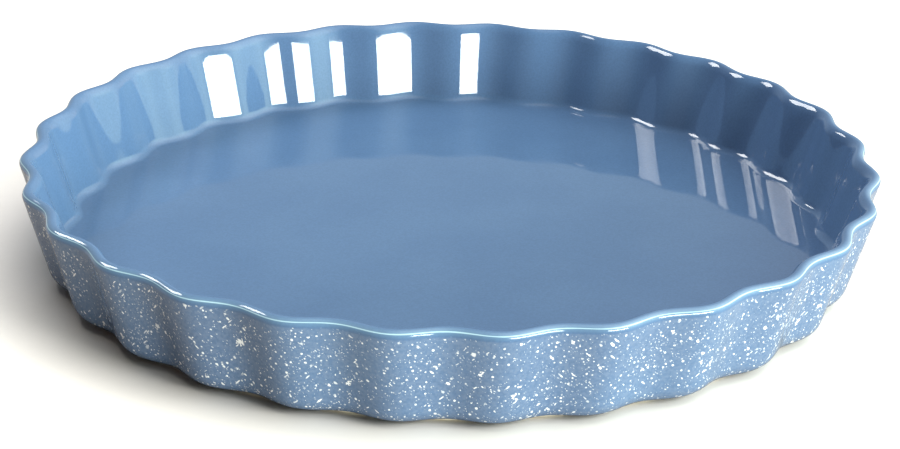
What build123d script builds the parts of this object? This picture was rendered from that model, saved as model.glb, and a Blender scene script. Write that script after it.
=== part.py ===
from build123d import *
from math import acos, asin, atan2, ceil, cos, degrees, pi, radians, sin
import os

# Fluted quiche dish in glazed stoneware, in millimetres. It stands on its foot ring with the origin at the
# centre of the ring's underside, +Z up and the crest of one flute on +X.

# Outer form
rim_diameter = 300.0          # over the flute crests
base_diameter = 281.7         # over the crests, where wall and underside would meet in a sharp corner
dish_height = 37.2
corner_radius = 8.5           # outside, from the underside into the wall
# Wall and floor, glaze included
wall_thickness = 4.8          # just below the rim
wall_taper_angle = 1.7        # the inner wall leans this much more than the outer one, so it thickens downwards
floor_thickness = 6.5
inner_corner_radius = 3.6
# Rim, a tight round on the outside that runs on into a wide one towards the inner wall
rim_outer_round = 2.1
rim_inner_round = 5.6
# Flutes
flute_count = 28
rim_flute_depth = 3.4         # crest to valley
base_flute_depth = 3.2
# Foot ring, bare clay
foot_height = 1.0
foot_width = 7.0
foot_setback = 8.5            # from the base crests in to the ring's outer edge
foot_edge = 0.4               # the ring's two lower edges, sponged round before firing
# Glaze
glaze_thickness = 0.4
glaze_bond = 0.05             # hairline between clay and glaze, where the one melts into the other
glaze_wipe = 0.8              # clay left bare beside the foot ring
glaze_line_angle = 37.0       # where inner and outer coats meet on the rim, above its outermost line
# How finely the curves are drawn
points_per_flute = 4
arc_step_angle = 15.0

# The profile in radius and height. Radii are those of the mean circle, halfway between crest and valley.
rim_radius = (rim_diameter - rim_flute_depth) / 2
base_radius = (base_diameter - base_flute_depth) / 2
foot_radius = base_diameter / 2 - foot_setback
foot_inner_radius = foot_radius - foot_width
floor_height = foot_height + floor_thickness
mid_floor_height = foot_height + floor_thickness / 2
clay_depth = glaze_thickness + glaze_bond

# The outer wall leans out, tangent to the rim's outer round, from the sharp base corner
rim_centre_radius = rim_radius - rim_outer_round
rim_centre_height = dish_height - rim_outer_round
lean_run = rim_centre_radius - base_radius
lean_rise = rim_centre_height - foot_height
lean = atan2(lean_run, lean_rise) + asin(rim_outer_round / (lean_run**2 + lean_rise**2) ** 0.5)
lean_angle = degrees(lean)
inner_lean_angle = lean_angle + wall_taper_angle
inner_lean = radians(inner_lean_angle)

# The two rounds of the rim share a tangent at the crown angle, where the wall comes out at its thickness
round_step = rim_inner_round - rim_outer_round
crown_angle = degrees(acos((wall_thickness - rim_outer_round - rim_inner_round) / round_step)) - inner_lean_angle
crown_centre_radius = rim_centre_radius - round_step * cos(radians(crown_angle))
crown_centre_height = rim_centre_height - round_step * sin(radians(crown_angle))

# Centres of the outer and the inner bottom corner
corner_centre_radius = base_radius - corner_radius * (1 - sin(lean)) / cos(lean)
corner_centre_height = foot_height + corner_radius
inner_centre_height = floor_height + inner_corner_radius
inner_centre_drop = (crown_centre_height - inner_centre_height) * sin(inner_lean)
inner_reach = inner_centre_drop + rim_inner_round + inner_corner_radius
inner_centre_radius = crown_centre_radius - inner_reach / cos(inner_lean)


def fluted_section(radius, height):
    # One closed wavy outline, a sine wave around the mean circle with a crest on +X. The flutes deepen
    # steadily from base to rim.
    rise_share = (height - foot_height) / (dish_height - foot_height)
    swing = (base_flute_depth + (rim_flute_depth - base_flute_depth) * rise_share) / 2
    count = flute_count * points_per_flute
    outline = []
    for step in range(count):
        turn = 2 * pi * step / count
        reach = radius + swing * cos(flute_count * turn)
        outline.append((reach * cos(turn), reach * sin(turn)))
    with BuildSketch(Plane.XY.offset(height)) as section:
        with BuildLine():
            Spline(*outline, periodic=True)
        make_face()
    return section.sketch


def fluted_solid(profile):
    # A solid whose skin runs through a wavy outline at each radius and height of the profile, closed by a
    # flat face inside the first outline and another inside the last
    loft([fluted_section(radius, height) for radius, height in profile], ruled=True)


def arc_profile(centre, arc_radius, start, end):
    # Points of the profile along an arc, from one angle above the horizontal to another
    centre_radius, centre_height = centre
    steps = ceil(abs(end - start) / arc_step_angle)
    angles = [radians(start + (end - start) * step / steps) for step in range(steps + 1)]
    return [(centre_radius + arc_radius * cos(a), centre_height + arc_radius * sin(a)) for a in angles]


def outer_corner(depth):
    # From the underside up into the wall, with the skin taken down by a depth
    centre = (corner_centre_radius, corner_centre_height)
    return arc_profile(centre, corner_radius - depth, -90, -lean_angle)


def inner_corner(depth):
    # From the floor up into the inner wall, with the skin let in by a depth
    centre = (inner_centre_radius, inner_centre_height)
    return arc_profile(centre, inner_corner_radius + depth, -90, -inner_lean_angle)


def rim_shoulder(depth, start, end):
    # On the rim's outer round
    centre = (rim_centre_radius, rim_centre_height)
    return arc_profile(centre, rim_outer_round - depth, start, end)


def over_rim(depth, start):
    # From an angle on the rim's outer round over the crown and down to the inner wall
    centre = (crown_centre_radius, crown_centre_height)
    inner_side = arc_profile(centre, rim_inner_round - depth, crown_angle, 180 - inner_lean_angle)
    return rim_shoulder(depth, start, crown_angle) + inner_side[1:]


def outside_profile(depth):
    # Underside, corner and outer wall, up to the line on the rim where the two coats meet
    return outer_corner(depth) + rim_shoulder(depth, -lean_angle, glaze_line_angle)


def inside_profile(depth):
    # Floor, corner and inner wall, and over the rim to the same line
    return inner_corner(depth) + over_rim(depth, glaze_line_angle)[::-1]


def save(piece, name):
    piece.part.label = name
    export_step(piece.part, f"parts/{name}.step")


os.makedirs("parts", exist_ok=True)

# The fired clay, from the underside over the rim down to the floor, with the bare foot ring below it
with BuildPart() as stoneware_body:
    up_and_over = outer_corner(clay_depth) + over_rim(clay_depth, -lean_angle)
    fluted_solid(up_and_over + inner_corner(clay_depth)[::-1])
    with BuildSketch(Plane.XY):
        Circle(foot_radius)
        Circle(foot_inner_radius, mode=Mode.SUBTRACT)
    extrude(amount=mid_floor_height)
    foot_edges = stoneware_body.edges().filter_by(GeomType.CIRCLE).group_by(Axis.Z)[0]
    fillet(foot_edges, foot_edge)
save(stoneware_body, "stoneware_body")

# Plain coat on floor and inner wall, over the rim to its shoulder
with BuildPart() as inside_glaze:
    fluted_solid(inside_profile(0) + inside_profile(glaze_thickness)[::-1])
save(inside_glaze, "inside_glaze")

# Speckled coat on the outer wall, down round the bottom corner and wiped off around the foot
with BuildPart() as outside_glaze:
    fluted_solid(outside_profile(0) + outside_profile(glaze_thickness)[::-1])
    ring_bottom = (Align.CENTER, Align.CENTER, Align.MIN)
    Cylinder(foot_radius + glaze_wipe, mid_floor_height, align=ring_bottom, mode=Mode.SUBTRACT)
save(outside_glaze, "outside_glaze")

# Coat under the floor, inside the foot ring
with BuildPart() as underside_glaze:
    with BuildSketch(Plane.XY.offset(foot_height)):
        Circle(foot_inner_radius - glaze_wipe)
    extrude(amount=glaze_thickness)
save(underside_glaze, "underside_glaze")
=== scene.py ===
from math import acos, asin, atan2, ceil, cos, degrees, pi, radians, sin, tan

import bmesh
import bpy
from mathutils import Matrix, Vector


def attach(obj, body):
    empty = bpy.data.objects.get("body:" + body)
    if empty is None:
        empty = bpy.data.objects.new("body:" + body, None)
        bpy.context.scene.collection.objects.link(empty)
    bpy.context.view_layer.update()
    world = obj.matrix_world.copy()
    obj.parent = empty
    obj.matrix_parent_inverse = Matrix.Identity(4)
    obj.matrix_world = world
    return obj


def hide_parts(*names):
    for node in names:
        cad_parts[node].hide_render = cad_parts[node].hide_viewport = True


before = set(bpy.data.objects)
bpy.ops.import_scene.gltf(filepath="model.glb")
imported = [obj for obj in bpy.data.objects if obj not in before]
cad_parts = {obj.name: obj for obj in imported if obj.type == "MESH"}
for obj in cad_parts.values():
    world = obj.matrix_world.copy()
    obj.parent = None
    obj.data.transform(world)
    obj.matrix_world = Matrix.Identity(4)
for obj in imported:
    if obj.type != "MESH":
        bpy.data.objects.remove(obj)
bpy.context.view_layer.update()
print("dish frame loaded")

mm = 0.001

# The dish's own sizes in millimetres, the same as its solids have. The crest of one flute is on +X.
dishShape = {
    "rimDiameter": 300.0,
    "baseDiameter": 281.7,
    "height": 37.2,
    "cornerRadius": 8.5,
    "rimOuterRound": 2.1,
    "rimInnerRound": 5.6,
    "wall": 4.8,
    "wallTaperAngle": 1.7,
    "floor": 6.5,
    "innerCornerRadius": 3.6,
    "fluteCount": 28,
    "rimFluteDepth": 3.4,
    "baseFluteDepth": 3.2,
    "footHeight": 1.0,
    "footWidth": 7.0,
    "footSetback": 8.5,
    "footEdge": 0.4,
    "glaze": 0.4,
    "glazeBond": 0.05,
    "glazeWipe": 0.8,
    "glazeLineAngle": 37.0,
}

fluteCount = dishShape["fluteCount"]
outerRound = dishShape["rimOuterRound"]
innerRound = dishShape["rimInnerRound"]
rimCentre = (
    (dishShape["rimDiameter"] - dishShape["rimFluteDepth"]) / 2 - outerRound,
    dishShape["height"] - outerRound,
)
baseRadius = (dishShape["baseDiameter"] - dishShape["baseFluteDepth"]) / 2
footRadius = dishShape["baseDiameter"] / 2 - dishShape["footSetback"]
footInnerRadius = footRadius - dishShape["footWidth"]
floorHeight = dishShape["footHeight"] + dishShape["floor"]
leanRun = rimCentre[0] - baseRadius
leanRise = rimCentre[1] - dishShape["footHeight"]
lean = atan2(leanRun, leanRise) + asin(outerRound / (leanRun**2 + leanRise**2) ** 0.5)
leanAngle = degrees(lean)
innerLeanAngle = leanAngle + dishShape["wallTaperAngle"]
innerLean = radians(innerLeanAngle)

# The rim's tight outer round runs on into the wide inner one at the crown angle
crownTurn = acos((dishShape["wall"] - outerRound - innerRound) / (innerRound - outerRound))
crownAngle = degrees(crownTurn) - innerLeanAngle
innerRimCentre = (
    rimCentre[0] - (innerRound - outerRound) * cos(radians(crownAngle)),
    rimCentre[1] - (innerRound - outerRound) * sin(radians(crownAngle)),
)
outerCentre = (
    baseRadius - dishShape["cornerRadius"] * (1 - sin(lean)) / cos(lean),
    dishShape["footHeight"] + dishShape["cornerRadius"],
)
innerCentreHeight = floorHeight + dishShape["innerCornerRadius"]
innerCentreDrop = (innerRimCentre[1] - innerCentreHeight) * sin(innerLean)
innerCentre = (
    innerRimCentre[0] - (innerCentreDrop + innerRound + dishShape["innerCornerRadius"]) / cos(innerLean),
    innerCentreHeight,
)
swingShare = dishShape["rimFluteDepth"] / (dishShape["rimDiameter"] - dishShape["rimFluteDepth"])


# Modelling: a ring of corners is pressed into flutes once and then drawn along the dish's profile

def arcProfile(centre, radius, start, end, step):
    # Radius and height of points along an arc, angles above the horizontal
    steps = ceil(abs(end - start) / step)
    angles = [radians(start + (end - start) * i / steps) for i in range(steps + 1)]
    return [(centre[0] + radius * cos(a), centre[1] + radius * sin(a)) for a in angles]


def straightProfile(start, end, steps):
    return [
        (start[0] + (end[0] - start[0]) * i / steps, start[1] + (end[1] - start[1]) * i / steps)
        for i in range(1, steps)
    ]


def selectCorners(piece, wanted):
    # Selects the corners whose index passes the test, and nothing else
    mesh = bmesh.from_edit_mesh(piece.data)
    mesh.verts.ensure_lookup_table()
    for corner in mesh.verts:
        corner.select = wanted(corner.index)
    mesh.select_flush_mode()
    bmesh.update_edit_mesh(piece.data)


def selectRing(piece, first, count):
    selectCorners(piece, lambda index: first <= index < first + count)


def newestRing(piece, count):
    return len(bmesh.from_edit_mesh(piece.data).verts) - count


def shapeRing(piece, first, count, spotAt):
    # Moves the corners of one ring to a radius and height of their own, one step of the flutes at a time
    perFlute = count // fluteCount
    mesh = bmesh.from_edit_mesh(piece.data)
    mesh.verts.ensure_lookup_table()
    stepOf = {}
    for corner in mesh.verts[first:first + count]:
        share = atan2(corner.co.y, corner.co.x) * fluteCount / (2 * pi)
        step = round(share * perFlute) % perFlute
        stepOf[corner.index] = min(step, perFlute - step)
    for step in range(perFlute // 2 + 1):
        radius, height = spotAt(cos(2 * pi * step / perFlute))
        selectCorners(piece, lambda index: stepOf.get(index) == step)
        mesh = bmesh.from_edit_mesh(piece.data)
        mesh.verts.ensure_lookup_table()
        spot = next(mesh.verts[i].co.copy() for i in stepOf if stepOf[i] == step)
        ratio = radius * mm / spot.xy.length
        bpy.ops.transform.resize(value=(ratio, ratio, 1), center_override=(0, 0, 0))
        bpy.ops.transform.translate(value=(0, 0, height * mm - spot.z))
    selectRing(piece, first, count)


def startRing(name, spot, perFlute, fluted=True):
    # The first ring of a piece, in edit mode and selected
    bpy.ops.object.select_all(action="DESELECT")
    count = fluteCount * perFlute
    radius, height = spot
    bpy.ops.mesh.primitive_circle_add(vertices=count, radius=radius * mm)
    piece = bpy.context.object
    piece.name = name
    piece.data.name = name
    bpy.ops.object.mode_set(mode="EDIT")
    bpy.ops.mesh.select_mode(type="VERT")
    swing = radius * swingShare if fluted else 0
    shapeRing(piece, 0, count, lambda crest: (radius + swing * crest, height))
    return piece, count


def growSkin(profile):
    # Draws the selected ring on through the rest of the profile
    for (radius, height), (nextRadius, nextHeight) in zip(profile, profile[1:]):
        rise = (nextHeight - height) * mm
        ratio = nextRadius / radius
        bpy.ops.mesh.extrude_region_move(TRANSFORM_OT_translate={"value": (0, 0, rise)})
        bpy.ops.transform.resize(value=(ratio, ratio, 1), center_override=(0, 0, 0))


def growShaped(piece, count, spotAt):
    # One more ring whose corners have a radius and height of their own
    bpy.ops.mesh.extrude_region_move()
    shapeRing(piece, newestRing(piece, count), count, spotAt)


def closeMiddle():
    bpy.ops.mesh.merge(type="CENTER")


def closeLoop(piece, count):
    # Joins the newest ring to the first one
    last = newestRing(piece, count)
    selectCorners(piece, lambda index: index < count or index >= last)
    bpy.ops.mesh.bridge_edge_loops()


def finishPiece(piece, smoothAngle, slot, *nodes):
    bpy.ops.mesh.select_all(action="SELECT")
    bpy.ops.mesh.normals_make_consistent(inside=False)
    bpy.ops.object.mode_set(mode="OBJECT")
    bpy.ops.object.shade_smooth_by_angle(angle=radians(smoothAngle))
    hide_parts(*nodes)
    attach(piece, "root")
    print(piece.name, "modelled,", len(piece.data.polygons), "faces")


def floorProfile(height, radii):
    return [(radius, height) for radius in radii]


# Plain coat inside: over the rim from the glaze line, down the wall, round the corner and across the floor
insideCoat = {
    "perFlute": 24,
    "rimStep": 5.0,
    "wallRings": 5,
    "cornerStep": 5.0,
    "hiddenStep": 15.0,       # steps and rings on the side towards the clay
    "hiddenRings": 2,
    "floorRadii": (129, 120, 104, 84, 60, 34, 12, 3),
    "smoothAngle": 50,
}


def overRim(depth, start, step):
    # From an angle on the rim's outer round over the top and down to the inner wall
    crown = arcProfile(rimCentre, outerRound - depth, start, crownAngle, step)
    innerSide = arcProfile(innerRimCentre, innerRound - depth, crownAngle, 180 - innerLeanAngle, step)
    return crown[:-1] + innerSide


def insideSkin(depth, rimStep, cornerStep, rings):
    rim = overRim(depth, dishShape["glazeLineAngle"], rimStep)
    corner = arcProfile(
        innerCentre, dishShape["innerCornerRadius"] + depth, -innerLeanAngle, -90, cornerStep
    )
    return rim + straightProfile(rim[-1], corner[0], rings) + corner


skin = insideSkin(0, insideCoat["rimStep"], insideCoat["cornerStep"], insideCoat["wallRings"])
insideGlaze, ringSize = startRing("liningGlaze", skin[0], insideCoat["perFlute"])
growSkin(skin + floorProfile(floorHeight, insideCoat["floorRadii"]))
closeMiddle()
selectRing(insideGlaze, 0, ringSize)
hiddenStep, hiddenRings = insideCoat["hiddenStep"], insideCoat["hiddenRings"]
back = insideSkin(dishShape["glaze"], hiddenStep, hiddenStep, hiddenRings)
underFloor = floorProfile(floorHeight - dishShape["glaze"], insideCoat["floorRadii"][::3])
growSkin(skin[:1] + back + underFloor)
closeMiddle()
finishPiece(insideGlaze, insideCoat["smoothAngle"], "blue_glaze", "inside_glaze")


# Speckled coat outside: from the glaze line down the wall and round under the bottom corner, wiped off in a
# circle around the foot
outsideCoat = {
    "perFlute": 24,
    "rimStep": 5.0,
    "wallRings": 6,
    "cornerStep": 5.0,
    "cornerEnd": -52.0,
    "wipeRings": 6,
    "inwardPower": 4,         # how late the skin under a crest turns inward
    "hiddenStep": 15.0,
    "hiddenRings": 2,
    "smoothAngle": 50,
}


def outsideSkin(depth, rimStep, cornerStep, rings, cornerEnd):
    rim = arcProfile(rimCentre, outerRound - depth, dishShape["glazeLineAngle"], -leanAngle, rimStep)
    corner = arcProfile(
        outerCentre, dishShape["cornerRadius"] - depth, -leanAngle, cornerEnd, cornerStep
    )
    return rim + straightProfile(rim[-1], corner[0], rings) + corner


def towardsCircle(depth, circleRadius, share, startAngle):
    # On the bottom corner, part of the way from an angle to where it meets an upright circle. Under a crest
    # the circle lies further in than the corner, so the skin ends on the flat there.
    arc = dishShape["cornerRadius"] - depth

    def spotAt(crest):
        centre = outerCentre[0] * (1 + swingShare * crest)
        end = -acos(max(circleRadius - centre, 0) / arc)
        angle = radians(startAngle) + (end - radians(startAngle)) * share
        inward = min(circleRadius - centre, 0) * share ** outsideCoat["inwardPower"]
        return centre + arc * cos(angle) + inward, outerCentre[1] + arc * sin(angle)

    return spotAt


wipeRadius = footRadius + dishShape["glazeWipe"]
skin = outsideSkin(
    0, outsideCoat["rimStep"], outsideCoat["cornerStep"], outsideCoat["wallRings"], outsideCoat["cornerEnd"]
)
outsideGlaze, ringSize = startRing("speckledGlaze", skin[0], outsideCoat["perFlute"])
growSkin(skin)
for ring in range(outsideCoat["wipeRings"]):
    share = (ring + 1) / outsideCoat["wipeRings"]
    growShaped(outsideGlaze, ringSize, towardsCircle(0, wipeRadius, share, outsideCoat["cornerEnd"]))
glaze = dishShape["glaze"]
growShaped(outsideGlaze, ringSize, towardsCircle(glaze, wipeRadius, 1, outsideCoat["cornerEnd"]))
growShaped(outsideGlaze, ringSize, towardsCircle(glaze, wipeRadius, 0, outsideCoat["cornerEnd"]))
hiddenStep, hiddenRings = outsideCoat["hiddenStep"], outsideCoat["hiddenRings"]
back = outsideSkin(glaze, hiddenStep, hiddenStep, hiddenRings, outsideCoat["cornerEnd"])
growSkin(back[::-1])
closeLoop(outsideGlaze, ringSize)
finishPiece(outsideGlaze, outsideCoat["smoothAngle"], "speckled_glaze", "outside_glaze")


# Fired clay under both coats, with the bare foot ring
clayBody = {
    "perFlute": 12,
    "rimStep": 12.0,
    "cornerStep": 9.0,
    "wallRings": 3,
    "cornerEnd": -52.0,
    "footRings": 3,
    "edgeStep": 22.5,
    "floorRadii": (118, 84, 40, 8),
    "smoothAngle": 50,
}

clayDepth = dishShape["glaze"] + dishShape["glazeBond"]
rimTop = arcProfile(rimCentre, outerRound - clayDepth, 90, -leanAngle, clayBody["rimStep"])
cornerRadius = dishShape["cornerRadius"] - clayDepth
corner = arcProfile(outerCentre, cornerRadius, -leanAngle, clayBody["cornerEnd"], clayBody["cornerStep"])
skin = rimTop + straightProfile(rimTop[-1], corner[0], clayBody["wallRings"]) + corner
stoneware, ringSize = startRing("stonewareBody", skin[0], clayBody["perFlute"])
growSkin(skin)
for ring in range(clayBody["footRings"]):
    share = (ring + 1) / clayBody["footRings"]
    growShaped(stoneware, ringSize, towardsCircle(clayDepth, footRadius, share, clayBody["cornerEnd"]))
edge = dishShape["footEdge"]
undersideHeight = dishShape["footHeight"] + clayDepth
outerEdge = arcProfile((footRadius - edge, edge), edge, 0, -90, clayBody["edgeStep"])
innerEdge = arcProfile((footInnerRadius + edge, edge), edge, -90, -180, clayBody["edgeStep"])
growShaped(stoneware, ringSize, lambda crest: outerEdge[0])
underneath = [(footInnerRadius, undersideHeight)] + floorProfile(undersideHeight, clayBody["floorRadii"])
growSkin(outerEdge + innerEdge + underneath)
closeMiddle()
selectRing(stoneware, 0, ringSize)
rimBack = overRim(clayDepth, 90, clayBody["rimStep"])
corner = arcProfile(
    innerCentre, dishShape["innerCornerRadius"] + clayDepth, -innerLeanAngle, -90, clayBody["cornerStep"]
)
skin = rimBack + straightProfile(rimBack[-1], corner[0], clayBody["wallRings"]) + corner
growSkin(skin + floorProfile(floorHeight - clayDepth, clayBody["floorRadii"]))
closeMiddle()
finishPiece(stoneware, clayBody["smoothAngle"], "bare_clay", "stoneware_body")


# Coat under the floor, a disc with a soft edge inside the foot ring
undersideCoat = {
    "perFlute": 8,
    "edgeStep": 30.0,
    "radii": (100, 60, 20),
    "smoothAngle": 60,
}

discEdge = dishShape["glaze"] / 2
discRadius = footInnerRadius - dishShape["glazeWipe"] - discEdge
discCentre = (discRadius, dishShape["footHeight"] + discEdge)
lower = arcProfile(discCentre, discEdge, 0, -90, undersideCoat["edgeStep"])
upper = arcProfile(discCentre, discEdge, 0, 90, undersideCoat["edgeStep"])
undersideGlaze, ringSize = startRing("undersideGlaze", lower[0], undersideCoat["perFlute"], fluted=False)
growSkin(lower + floorProfile(lower[-1][1], undersideCoat["radii"]))
closeMiddle()
selectRing(undersideGlaze, 0, ringSize)
growSkin(upper + floorProfile(upper[-1][1], undersideCoat["radii"]))
closeMiddle()
finishPiece(undersideGlaze, undersideCoat["smoothAngle"], "underside_glaze", "underside_glaze")


# Materials. A tree is built from short calls: put() adds a node, join() links pairs of sockets. Scales of
# noise are in features to the metre, and noiseSpan is where most of a noise's values lie.
noiseSpan = (0.3, 0.7)


def put(tree, kind, label=None, **settings):
    node = tree.nodes.new(kind)
    if label:
        node.label = label
    for name, value in settings.items():
        setattr(node, name, value)
    return node


def join(tree, *pairs):
    for output, target in pairs:
        tree.links.new(output, target)


def feed(tree, socket, value):
    # A socket is given either a link or a plain value
    if isinstance(value, bpy.types.NodeSocket):
        tree.links.new(value, socket)
    else:
        socket.default_value = value


def maths(tree, operation, *values, clamp=False):
    node = put(tree, "ShaderNodeMath", operation=operation, use_clamp=clamp)
    for socket, value in zip(node.inputs, values):
        feed(tree, socket, value)
    return node.outputs[0]


def vectorMaths(tree, operation, *values):
    node = put(tree, "ShaderNodeVectorMath", operation=operation)
    for socket, value in zip(node.inputs, values):
        feed(tree, socket, value)
    return node.outputs[0]


def ramp(tree, value, low, high, toLow=0.0, toHigh=1.0, kind="SMOOTHSTEP"):
    # Follows a value from one level to another, easing at both ends, and gives toLow to toHigh
    node = put(tree, "ShaderNodeMapRange", interpolation_type=kind)
    levels = {"Value": value, "From Min": low, "From Max": high, "To Min": toLow, "To Max": toHigh}
    for name, level in levels.items():
        feed(tree, node.inputs[name], level)
    return node.outputs[0]


def mixColour(tree, factor, first, second, blend="MIX"):
    node = put(tree, "ShaderNodeMix", data_type="RGBA", blend_type=blend)
    feed(tree, node.inputs[0], factor)
    feed(tree, node.inputs[6], first)
    feed(tree, node.inputs[7], second)
    return node.outputs[2]


def noise(tree, vector, scale, detail=2.0, roughness=0.5):
    node = put(tree, "ShaderNodeTexNoise")
    feed(tree, node.inputs["Vector"], vector)
    feed(tree, node.inputs["Scale"], scale)
    node.inputs["Detail"].default_value = detail
    node.inputs["Roughness"].default_value = roughness
    return node


def makeGroup(name, inputs, outputs):
    # An effect group with named sockets; each input is (name, kind, default)
    tree = bpy.data.node_groups.new(name, "ShaderNodeTree")
    for label, kind, default in inputs:
        socket = tree.interface.new_socket(name=label, in_out="INPUT", socket_type="NodeSocket" + kind)
        if default is not None:
            socket.default_value = default
    for label, kind in outputs:
        tree.interface.new_socket(name=label, in_out="OUTPUT", socket_type="NodeSocket" + kind)
    start = put(tree, "NodeGroupInput")
    end = put(tree, "NodeGroupOutput")
    return tree, start.outputs, end.inputs


def placeGroup(tree, group, **values):
    node = put(tree, "ShaderNodeGroup", node_tree=group)
    for name, value in values.items():
        feed(tree, node.inputs[name], value)
    return node.outputs


def linear(red, green, blue):
    # A colour as it is picked on screen, 0 to 255, in the linear values that shaders take
    parts = [channel / 255 for channel in (red, green, blue)]
    parts = [part / 12.92 if part <= 0.04045 else ((part + 0.055) / 1.055) ** 2.4 for part in parts]
    return (*parts, 1.0)


# Where on the dish's profile a point lies: its radius with the flutes taken out, and its height
fluteGuide, given, out = makeGroup(
    "fluteGuide", [("Vector", "Vector", None)], [("Radius", "Float"), ("Height", "Float")]
)
axes = put(fluteGuide, "ShaderNodeSeparateXYZ")
join(fluteGuide, (given["Vector"], axes.inputs[0]))
flat = put(fluteGuide, "ShaderNodeCombineXYZ")
join(fluteGuide, (axes.outputs["X"], flat.inputs["X"]), (axes.outputs["Y"], flat.inputs["Y"]))
reach = put(fluteGuide, "ShaderNodeVectorMath", operation="LENGTH")
join(fluteGuide, (flat.outputs[0], reach.inputs[0]))
turn = maths(fluteGuide, "ARCTAN2", axes.outputs["Y"], axes.outputs["X"])
crest = maths(fluteGuide, "COSINE", maths(fluteGuide, "MULTIPLY", turn, fluteCount))
swell = maths(fluteGuide, "MULTIPLY_ADD", crest, swingShare, 1.0)
join(
    fluteGuide,
    (maths(fluteGuide, "DIVIDE", reach.outputs["Value"], swell), out["Radius"]),
    (axes.outputs["Z"], out["Height"]),
)

# Angle on the rim's round, 0 outwards and 90 at the top
rimGuide, given, out = makeGroup(
    "rimGuide", [("Radius", "Float", 0.0), ("Height", "Float", 0.0)], [("Angle", "Float")]
)
across = maths(rimGuide, "SUBTRACT", given["Radius"], rimCentre[0] * mm)
above = maths(rimGuide, "SUBTRACT", given["Height"], rimCentre[1] * mm)
join(rimGuide, (maths(rimGuide, "DEGREES", maths(rimGuide, "ARCTAN2", above, across)), out["Angle"]))

# Flecks of spattered glaze: one random dot in each cell, stretched along the wall and slanted round it. Most
# dots are small, and some let the glaze below show through.
fleckShape = {
    "wobbleScale": 1300.0,
    "smallPower": 1.6,        # raises the share of small dots
    "smallest": 0.25,         # of the largest
    "solidPart": 0.72,        # of a dot's radius, inside its soft edge
    "clearShare": 0.6,        # of the dots, that let the glaze show
    "clearest": 0.45,
}

spatter, given, out = makeGroup(
    "spatter",
    [
        ("Vector", "Vector", None),
        ("Cell", "Float", 2.0),
        ("Size", "Float", 0.3),
        ("Keep", "Float", 1.0),
        ("Stretch", "Float", 1.0),
        ("Slant", "Float", 0.0),
        ("Ragged", "Float", 0.2),
        ("Shift", "Float", 0.0),
    ],
    [("Mask", "Float")],
)
axes = put(spatter, "ShaderNodeSeparateXYZ")
join(spatter, (given["Vector"], axes.inputs[0]))
twist = put(spatter, "ShaderNodeVectorRotate", rotation_type="Z_AXIS")
join(
    spatter,
    (given["Vector"], twist.inputs["Vector"]),
    (maths(spatter, "MULTIPLY", axes.outputs["Z"], given["Slant"]), twist.inputs["Angle"]),
)
squeeze = put(spatter, "ShaderNodeCombineXYZ")
squeeze.inputs["X"].default_value = 1.0
squeeze.inputs["Y"].default_value = 1.0
join(spatter, (maths(spatter, "DIVIDE", 1.0, given["Stretch"]), squeeze.inputs["Z"]))
drawn = vectorMaths(spatter, "MULTIPLY", twist.outputs[0], squeeze.outputs[0])
cells = vectorMaths(spatter, "SCALE", drawn)
feed(spatter, cells.node.inputs["Scale"], maths(spatter, "DIVIDE", 1 / mm, given["Cell"]))
wobble = noise(spatter, given["Vector"], fleckShape["wobbleScale"], detail=1.0)
pushed = vectorMaths(spatter, "SUBTRACT", wobble.outputs["Color"], (0.5, 0.5, 0.5))
pushed = vectorMaths(spatter, "SCALE", pushed)
feed(spatter, pushed.node.inputs["Scale"], given["Ragged"])
place = vectorMaths(spatter, "ADD", cells, pushed)
place = vectorMaths(spatter, "ADD", place, given["Shift"])
dots = put(spatter, "ShaderNodeTexVoronoi", feature="F1")
dots.inputs["Scale"].default_value = 1.0
join(spatter, (place, dots.inputs["Vector"]))
chance = put(spatter, "ShaderNodeSeparateColor")
join(spatter, (dots.outputs["Color"], chance.inputs[0]))
smallest, clearest = fleckShape["smallest"], fleckShape["clearest"]
dotSize = maths(spatter, "POWER", chance.outputs["Red"], fleckShape["smallPower"])
dotSize = maths(spatter, "MULTIPLY_ADD", dotSize, 1 - smallest, smallest)
dotSize = maths(spatter, "MULTIPLY", dotSize, given["Size"])
solid = maths(spatter, "MULTIPLY", dotSize, fleckShape["solidPart"])
mask = ramp(spatter, dots.outputs["Distance"], solid, dotSize, 1.0, 0.0)
kept = maths(spatter, "LESS_THAN", chance.outputs["Green"], given["Keep"])
opaque = ramp(spatter, chance.outputs["Blue"], 0.0, fleckShape["clearShare"], clearest, 1.0, kind="LINEAR")
mask = maths(spatter, "MULTIPLY", maths(spatter, "MULTIPLY", mask, kept), opaque)
join(spatter, (mask, out["Mask"]))

# The coloured glaze itself: cloudy tone, fine grain and the slight unevenness of a fired surface
glazeBody = {
    "cloudScale": 26.0,
    "grainScale": 1400.0,
    "grain": (0.25, 0.75, 0.94, 1.06),
    "swirlScale": 90.0,
    "swirl": (0.8, 1.35),     # times the gloss setting
    "rippleScale": 70.0,
    "peelScale": 420.0,
    "peelHeight": 0.06,       # of the ripple's
}

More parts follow.
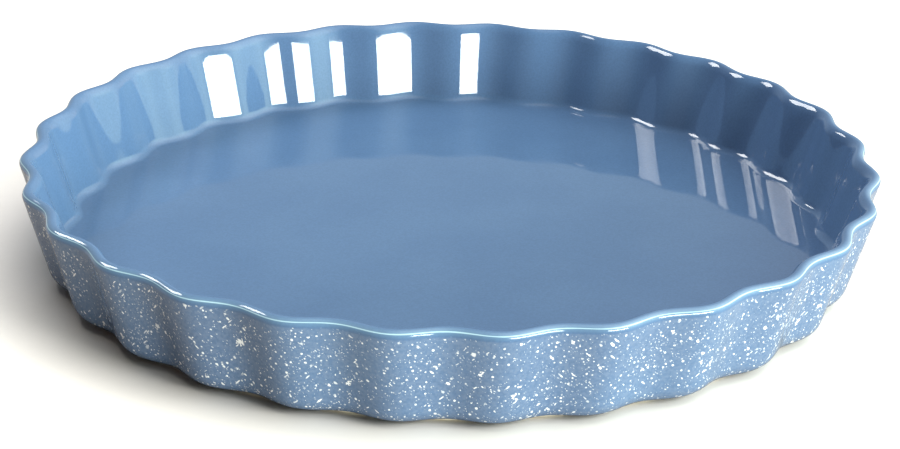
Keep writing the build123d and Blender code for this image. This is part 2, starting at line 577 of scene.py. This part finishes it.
firedGlaze, given, out = makeGroup(
    "firedGlaze",
    [
        ("Vector", "Vector", None),
        ("Colour", "Color", None),
        ("Deep", "Color", None),
        ("Cloud", "Float", 0.3),
        ("Gloss", "Float", 0.05),
    ],
    [("Colour", "Color"), ("Roughness", "Float"), ("Height", "Float")],
)
cloud = noise(firedGlaze, given["Vector"], glazeBody["cloudScale"], detail=3.0)
grain = noise(firedGlaze, given["Vector"], glazeBody["grainScale"], detail=2.0)
tone = maths(firedGlaze, "MULTIPLY", ramp(firedGlaze, cloud.outputs[0], *noiseSpan), given["Cloud"])
base = mixColour(firedGlaze, tone, given["Colour"], given["Deep"])
speck = ramp(firedGlaze, grain.outputs[0], *glazeBody["grain"])
base = mixColour(firedGlaze, 1.0, base, speck, blend="MULTIPLY")
swirl = noise(firedGlaze, given["Vector"], glazeBody["swirlScale"], detail=2.0)
rough = ramp(firedGlaze, swirl.outputs[0], *noiseSpan, *glazeBody["swirl"])
ripple = noise(firedGlaze, given["Vector"], glazeBody["rippleScale"], detail=1.0)
peel = noise(firedGlaze, given["Vector"], glazeBody["peelScale"], detail=1.0)
height = maths(firedGlaze, "MULTIPLY_ADD", peel.outputs[0], glazeBody["peelHeight"], ripple.outputs[0])
join(
    firedGlaze,
    (base, out["Colour"]),
    (maths(firedGlaze, "MULTIPLY", rough, given["Gloss"]), out["Roughness"]),
    (height, out["Height"]),
)


def startMaterial(name, piece):
    material = bpy.data.materials.new(name)
    material.use_nodes = True
    tree = material.node_tree
    tree.nodes.clear()
    shader = put(tree, "ShaderNodeBsdfPrincipled")
    surface = put(tree, "ShaderNodeOutputMaterial")
    join(tree, (shader.outputs[0], surface.inputs["Surface"]))
    coordinates = put(tree, "ShaderNodeTexCoord")
    piece.data.materials.clear()
    piece.data.materials.append(material)
    return tree, shader, coordinates.outputs["Object"]


def relief(tree, shader, height, strength, distance):
    bump = put(tree, "ShaderNodeBump")
    bump.inputs["Strength"].default_value = strength
    bump.inputs["Distance"].default_value = distance
    join(tree, (height, bump.inputs["Height"]), (bump.outputs[0], shader.inputs["Normal"]))


# Blue glaze inside, paler where it runs thin over the rim's shoulder, with a painted highlight along that
# pale line
liningFinish = {
    "colour": linear(85, 112, 147),
    "deep": linear(72, 99, 136),
    # Pale colour of the thin glaze at the rim, brightened into a painted highlight
    "breakAndHighlightColour": linear(186, 219, 230),
    "cloud": 0.35,
    "gloss": 0.045,
    "relief": (0.25, 0.00012),  # strength, and distance in metres
}

# The pale line on the rim, partly thin glaze and partly a painted highlight, in degrees to either side of the
# glaze line, and the soft zone above and below it
thinGlazeAndHighlight = {
    "line": 8.5,
    "above": 70.0,
    "below": 50.0,
    "lineStrength": 0.92,
    "besideStrength": 0.14,
    "wanderScale": 60.0,
    "wander": (0.75, 1.3),    # times the line's width as it goes round
    "lowest": 1.2,            # mm below the centre of the rim's round
}


def rimBreakAndHighlight(tree, guide, place):
    # How far the glaze has run thin on the rim: a line, uneven as it goes round, and a soft zone beside it.
    # The pale colour laid there also carries a painted highlight.
    angle = placeGroup(tree, rimGuide, Radius=guide["Radius"], Height=guide["Height"])["Angle"]
    wander = noise(tree, place, thinGlazeAndHighlight["wanderScale"], detail=2.0)
    spread = ramp(tree, wander.outputs[0], *noiseSpan, *thinGlazeAndHighlight["wander"])
    offset = maths(tree, "SUBTRACT", angle, dishShape["glazeLineAngle"])
    away = maths(tree, "DIVIDE", maths(tree, "ABSOLUTE", offset), spread)
    line = ramp(tree, away, 0.0, thinGlazeAndHighlight["line"], thinGlazeAndHighlight["lineStrength"], 0.0)
    above = ramp(tree, offset, 0.0, thinGlazeAndHighlight["above"], thinGlazeAndHighlight["besideStrength"], 0.0)
    below = ramp(tree, offset, -thinGlazeAndHighlight["below"], 0.0, 0.0, thinGlazeAndHighlight["besideStrength"])
    beside = maths(tree, "MINIMUM", above, below)
    onRim = maths(tree, "GREATER_THAN", guide["Height"], (rimCentre[1] - thinGlazeAndHighlight["lowest"]) * mm)
    return maths(tree, "MULTIPLY", maths(tree, "MAXIMUM", line, beside), onRim)


tree, shader, place = startMaterial("liningGlaze", insideGlaze)
guide = placeGroup(tree, fluteGuide, Vector=place)
fired = placeGroup(
    tree,
    firedGlaze,
    Vector=place,
    Colour=liningFinish["colour"],
    Deep=liningFinish["deep"],
    Cloud=liningFinish["cloud"],
    Gloss=liningFinish["gloss"],
)
# The rim line: the pale of thin glaze with a painted highlight on it
colour = mixColour(tree, rimBreakAndHighlight(tree, guide, place), fired["Colour"], liningFinish["breakAndHighlightColour"])
join(tree, (colour, shader.inputs["Base Color"]), (fired["Roughness"], shader.inputs["Roughness"]))
relief(tree, shader, fired["Height"], *liningFinish["relief"])

# A slightly deeper blue outside, spattered with white: a fine haze, a mist of tiny flecks, dots in four sizes
# and streaks that lean left in some places and right in others
speckledFinish = {
    "colour": linear(76, 108, 146),
    "deep": linear(64, 90, 128),
    # Pale colour of the thin glaze at the rim, brightened into a painted highlight
    "breakAndHighlightColour": linear(186, 219, 230),
    "white": linear(240, 243, 245),
    "cloud": 0.35,
    "gloss": 0.06,
    "relief": (0.25, 0.00012),
    "fleckHeight": 0.25,      # of the glaze's own relief
    "hazeScale": 900.0,
    "haze": (0.04, 0.09),
    "mistStrength": 0.5,
    "crowdingScale": 55.0,
    "crowding": (0.35, 0.65, 0.65, 1.2),
    "thinningUpwards": (0.035, 0.026, 0.6, 1.0),  # heights in metres, and the shares of flecks kept there
    "leaningScale": 38.0,
    "leaning": (0.44, 0.56),
    "belowRim": (0.0352, 0.0342),
    # cell in mm, dot's size in cells, share of cells kept, stretch, slant round the dish, raggedness, shift
    "dots": (
        (1.45, 0.33, 0.90, 1.1, 0.0, 0.20, 3.0),
        (2.1, 0.29, 0.85, 1.1, 2.0, 0.25, 13.0),
        (3.8, 0.23, 0.65, 1.2, 2.0, 0.35, 47.0),
        (7.0, 0.18, 0.60, 1.2, -3.0, 0.40, 59.0),
    ),
    "streaksLeft": (2.1, 0.24, 0.95, 2.3, 6.5, 0.25, 17.0),
    "streaksRight": (2.1, 0.24, 0.95, 2.3, -6.5, 0.25, 31.0),
    "mistFlecks": (0.78, 0.36, 0.85, 1.2, 3.0, 0.2, 71.0),
}

tree, shader, place = startMaterial("speckledGlaze", outsideGlaze)
guide = placeGroup(tree, fluteGuide, Vector=place)
fired = placeGroup(
    tree,
    firedGlaze,
    Vector=place,
    Colour=speckledFinish["colour"],
    Deep=speckledFinish["deep"],
    Cloud=speckledFinish["cloud"],
    Gloss=speckledFinish["gloss"],
)


def fleckMask(tree, place, keepMore, cell, size, keep, stretch, slant, ragged, shift):
    kept = maths(tree, "MULTIPLY", keepMore, keep)
    return placeGroup(
        tree, spatter, Vector=place, Cell=cell, Size=size, Keep=kept,
        Stretch=stretch, Slant=slant, Ragged=ragged, Shift=shift,
    )["Mask"]


crowding = noise(tree, place, speckledFinish["crowdingScale"], detail=1.0)
crowding = ramp(tree, crowding.outputs[0], *speckledFinish["crowding"])
thinning = ramp(tree, guide["Height"], *speckledFinish["thinningUpwards"])
keepMore = maths(tree, "MULTIPLY", crowding, thinning)
leaning = noise(tree, place, speckledFinish["leaningScale"], detail=1.0)
leaning = ramp(tree, leaning.outputs[0], *speckledFinish["leaning"])
leftward = maths(tree, "MULTIPLY", keepMore, leaning)
rightward = maths(tree, "SUBTRACT", keepMore, leftward)
flecks = fleckMask(tree, place, leftward, *speckledFinish["streaksLeft"])
flecks = maths(tree, "MAXIMUM", flecks, fleckMask(tree, place, rightward, *speckledFinish["streaksRight"]))
for values in speckledFinish["dots"]:
    flecks = maths(tree, "MAXIMUM", flecks, fleckMask(tree, place, keepMore, *values))
mist = fleckMask(tree, place, keepMore, *speckledFinish["mistFlecks"])
belowRim = ramp(tree, guide["Height"], *speckledFinish["belowRim"])
flecks = maths(tree, "MULTIPLY", flecks, belowRim)
mist = maths(tree, "MULTIPLY", mist, belowRim)
mist = maths(tree, "MULTIPLY", mist, speckledFinish["mistStrength"])
haze = noise(tree, place, speckledFinish["hazeScale"], detail=2.0)
haze = ramp(tree, haze.outputs[0], *noiseSpan, *speckledFinish["haze"])
haze = maths(tree, "MULTIPLY", haze, belowRim)
colour = mixColour(tree, haze, fired["Colour"], speckledFinish["white"])
colour = mixColour(tree, mist, colour, speckledFinish["white"])
# The rim line: the pale of thin glaze with a painted highlight on it
colour = mixColour(tree, rimBreakAndHighlight(tree, guide, place), colour, speckledFinish["breakAndHighlightColour"])
colour = mixColour(tree, flecks, colour, speckledFinish["white"])
height = maths(tree, "MULTIPLY_ADD", flecks, speckledFinish["fleckHeight"], fired["Height"])
join(tree, (colour, shader.inputs["Base Color"]), (fired["Roughness"], shader.inputs["Roughness"]))
relief(tree, shader, height, *speckledFinish["relief"])

# Coat under the floor, in the lining's blue but cloudier and less glossy
undersideFinish = {
    "cloud": 0.6,
    "gloss": 0.09,
    "relief": (0.25, 0.0002),
}

tree, shader, place = startMaterial("undersideGlaze", undersideGlaze)
fired = placeGroup(
    tree,
    firedGlaze,
    Vector=place,
    Colour=liningFinish["colour"],
    Deep=liningFinish["deep"],
    Cloud=undersideFinish["cloud"],
    Gloss=undersideFinish["gloss"],
)
join(tree, (fired["Colour"], shader.inputs["Base Color"]), (fired["Roughness"], shader.inputs["Roughness"]))
relief(tree, shader, fired["Height"], *undersideFinish["relief"])

# Bare clay on the foot: dry, sandy, a little scuffed
clayFinish = {
    "colour": linear(224, 214, 192),
    "dark": linear(196, 180, 152),
    "grit": linear(140, 120, 96),
    "patchScale": 140.0,
    "patches": (0.35, 0.75),
    "gritScale": 700.0,
    "gritSpots": (0.12, 0.2, 0.7, 0.0),
    "sandScale": 2200.0,
    "roughness": (0.75, 0.95),
    "relief": (0.4, 0.0001),
}

tree, shader, place = startMaterial("bareClay", stoneware)
patches = noise(tree, place, clayFinish["patchScale"], detail=4.0, roughness=0.6)
patches = ramp(tree, patches.outputs[0], *clayFinish["patches"])
grit = put(tree, "ShaderNodeTexVoronoi", feature="F1")
grit.inputs["Scale"].default_value = clayFinish["gritScale"]
join(tree, (place, grit.inputs["Vector"]))
spots = ramp(tree, grit.outputs["Distance"], *clayFinish["gritSpots"])
colour = mixColour(tree, patches, clayFinish["colour"], clayFinish["dark"])
colour = mixColour(tree, spots, colour, clayFinish["grit"])
sand = noise(tree, place, clayFinish["sandScale"], detail=2.0)
rough = ramp(tree, sand.outputs[0], *noiseSpan, *clayFinish["roughness"])
join(tree, (colour, shader.inputs["Base Color"]), (rough, shader.inputs["Roughness"]))
relief(tree, shader, sand.outputs[0], *clayFinish["relief"])
print("materials ready")


# Studio. The photograph's frame is turned a little from the dish's own, so that the flutes fall in their
# places. The table throws less light on the dish than its colour in the camera would.
studio = {
    "turn": -6.543,           # degrees
    "tableSize": 8.0,
    "tableColour": linear(226, 223, 218),
    "tableBounce": linear(158, 153, 148),
    "tableRoughness": 0.6,
    "paperScale": 300.0,
    "paper": (0.2, 0.8, 0.985, 1.0),
}


def bearing(azimuth, elevation):
    # Direction in the dish's frame of an azimuth and elevation in the photograph's
    flatTurn, rise = radians(azimuth + studio["turn"]), radians(elevation)
    return Vector((cos(flatTurn) * cos(rise), sin(flatTurn) * cos(rise), sin(rise)))


bpy.ops.object.select_all(action="DESELECT")
bpy.ops.mesh.primitive_plane_add(size=studio["tableSize"])
table = bpy.context.object
table.name = "table"
tree, shader, place = startMaterial("table", table)
paper = noise(tree, place, studio["paperScale"], detail=3.0)
shade = ramp(tree, paper.outputs[0], *studio["paper"])
rays = put(tree, "ShaderNodeLightPath")
paleOrDim = mixColour(tree, rays.outputs["Is Camera Ray"], studio["tableBounce"], studio["tableColour"])
join(tree, (mixColour(tree, 1.0, paleOrDim, shade, blend="MULTIPLY"), shader.inputs["Base Color"]))
shader.inputs["Roughness"].default_value = studio["tableRoughness"]

# Soft boxes, in degrees as seen from the dish: where they stand, half their width and height, and their roll
softBoxes = {
    "frontWindow": {
        "azimuth": -48.2, "elevation": 10.0, "width": 20.3, "height": 6.4, "roll": -6.0,
        "radiance": 31, "colour": (0.94, 1.0, 0.95),
    },
    "backWindow": {
        "azimuth": 152.3, "elevation": 44.7, "width": 11.9, "height": 10.2, "roll": 4.0,
        "radiance": 15.0, "colour": (1.0, 1.0, 1.0),
    },
    "tableLamp": {
        "azimuth": 20.0, "elevation": 84.0, "width": 28.0, "height": 28.0, "roll": 0.0,
        "radiance": 3.3, "colour": (1.0, 0.97, 0.93),
    },
    "tableSide": {
        "azimuth": -35.0, "elevation": 28.0, "width": 14.0, "height": 12.0, "roll": 0.0,
        "radiance": 18.0, "colour": (1.0, 0.98, 0.95),
    },
}
boxDistance = 3.0             # metres

for name, box in softBoxes.items():
    light = bpy.data.lights.new(name, "AREA")
    light.shape = "RECTANGLE"
    light.size = 2 * boxDistance * tan(radians(box["width"]))
    light.size_y = 2 * boxDistance * tan(radians(box["height"]))
    light.color = box["colour"]
    light.energy = box["radiance"] * pi * light.size * light.size_y
    lamp = bpy.data.objects.new(name, light)
    bpy.context.scene.collection.objects.link(lamp)
    towards = bearing(box["azimuth"], box["elevation"])
    across = Vector((0, 0, 1)).cross(towards).normalized()
    upright = Matrix((across, towards.cross(across), towards)).transposed().to_4x4()
    roll = Matrix.Rotation(radians(box["roll"]), 4, "Z")
    lamp.matrix_world = Matrix.Translation(towards * boxDistance) @ upright @ roll

# Both windows light the dish alone, and the table has two lamps of its own that give it a short, soft shadow
dishPieces = (insideGlaze, outsideGlaze, stoneware, undersideGlaze)
litBy = {
    "frontWindow": dishPieces,
    "backWindow": dishPieces,
    "tableLamp": (table,),
    "tableSide": (table,),
}
for name, receivers in litBy.items():
    group = bpy.data.collections.new(name)
    for piece in receivers:
        group.objects.link(piece)
    bpy.data.objects[name].light_linking.receiver_collection = group

# Room light: soft lobes, each with its azimuth and elevation, the angles from there at which it is still full
# and at which it has faded, and its colour
room = {
    "base": (0.02, 0.018, 0.016),
    "frontLow": (-90, 8, 10, 60, (0.20, 0.15, 0.12)),
    "right": (10, 30, 5, 40, (0.65, 0.85, 0.75)),
    "frontRight": (-25, 30, 5, 40, (1.15, 1.42, 1.10)),
    "backRight": (45, 30, 5, 40, (0.25, 0.18, 0.12)),
    "rightMiddle": (0, 38, 12, 28, (0.66, 0.74, 0.64)),
    "rightHigh": (10, 60, 5, 45, (1.74, 1.74, 1.80)),
    "rightLow": (0, 8, 5, 30, (1.30, 1.62, 1.25)),
    "backRightLow": (35, 8, 5, 30, (0.76, 0.70, 0.58)),
    "frontRightLow": (-35, 8, 5, 30, (0.75, 1.05, 0.95)),
    "backLow": (90, 15, 20, 65, (0.42, 0.54, 0.66)),
}
world = bpy.data.worlds.new("studioRoom")
bpy.context.scene.world = world
world.use_nodes = True
tree = world.node_tree
tree.nodes.clear()
background = put(tree, "ShaderNodeBackground")
surface = put(tree, "ShaderNodeOutputWorld")
join(tree, (background.outputs[0], surface.inputs[0]))
direction = put(tree, "ShaderNodeTexCoord")
roomLight = (*room["base"], 1.0)
for name, lobe in room.items():
    if name == "base":
        continue
    azimuth, elevation, full, faded, colour = lobe
    towards = put(tree, "ShaderNodeVectorMath", label=name, operation="DOT_PRODUCT")
    join(tree, (direction.outputs["Generated"], towards.inputs[0]))
    towards.inputs[1].default_value = bearing(azimuth, elevation)
    share = ramp(tree, towards.outputs["Value"], cos(radians(faded)), cos(radians(full)))
    roomLight = mixColour(tree, share, roomLight, (*colour, 1.0), blend="ADD")
join(tree, (roomLight, background.inputs["Color"]))
background.inputs["Strength"].default_value = 1.0

# Camera, at the photograph's place and angle
cameraPlace = {
    "distance": 0.74328,
    "elevation": 0.41151,      # radians, as the next three
    "pan": 0.0005926,
    "tilt": 0.0049981,
    "roll": 0.0226107,
    "focal": 2063.22,          # in pixels of the 900 wide image
    "imageWidth": 900,
    "drop": 9.798,             # optical axis below the image's centre, in pixels
    "sensorWidth": 36.0,
    "clipStart": 0.01,
}
elevation = cameraPlace["elevation"]
spot = Vector((0, -cos(elevation), sin(elevation))) * cameraPlace["distance"]
forward = -spot.normalized()
rightward = Vector((1, 0, 0))
upward = rightward.cross(forward)
pan, tilt, roll = cameraPlace["pan"], cameraPlace["tilt"], cameraPlace["roll"]
forward, rightward = forward * cos(pan) + rightward * sin(pan), rightward * cos(pan) - forward * sin(pan)
forward, upward = forward * cos(tilt) + upward * sin(tilt), upward * cos(tilt) - forward * sin(tilt)
rightward, upward = rightward * cos(roll) + upward * sin(roll), upward * cos(roll) - rightward * sin(roll)
facing = Matrix((rightward, upward, -forward)).transposed().to_4x4()
cameraData = bpy.data.cameras.new("photoCamera")
cameraData.sensor_fit = "HORIZONTAL"
cameraData.sensor_width = cameraPlace["sensorWidth"]
cameraData.lens = cameraPlace["focal"] * cameraPlace["sensorWidth"] / cameraPlace["imageWidth"]
cameraData.shift_y = cameraPlace["drop"] / cameraPlace["imageWidth"]
cameraData.clip_start = cameraPlace["clipStart"]
camera = bpy.data.objects.new("photoCamera", cameraData)
bpy.context.scene.collection.objects.link(camera)
camera.matrix_world = Matrix.Rotation(radians(studio["turn"]), 4, "Z") @ Matrix.Translation(spot) @ facing
bpy.context.scene.camera = camera
bpy.context.scene.view_settings.view_transform = "Standard"
print("studio and camera ready")
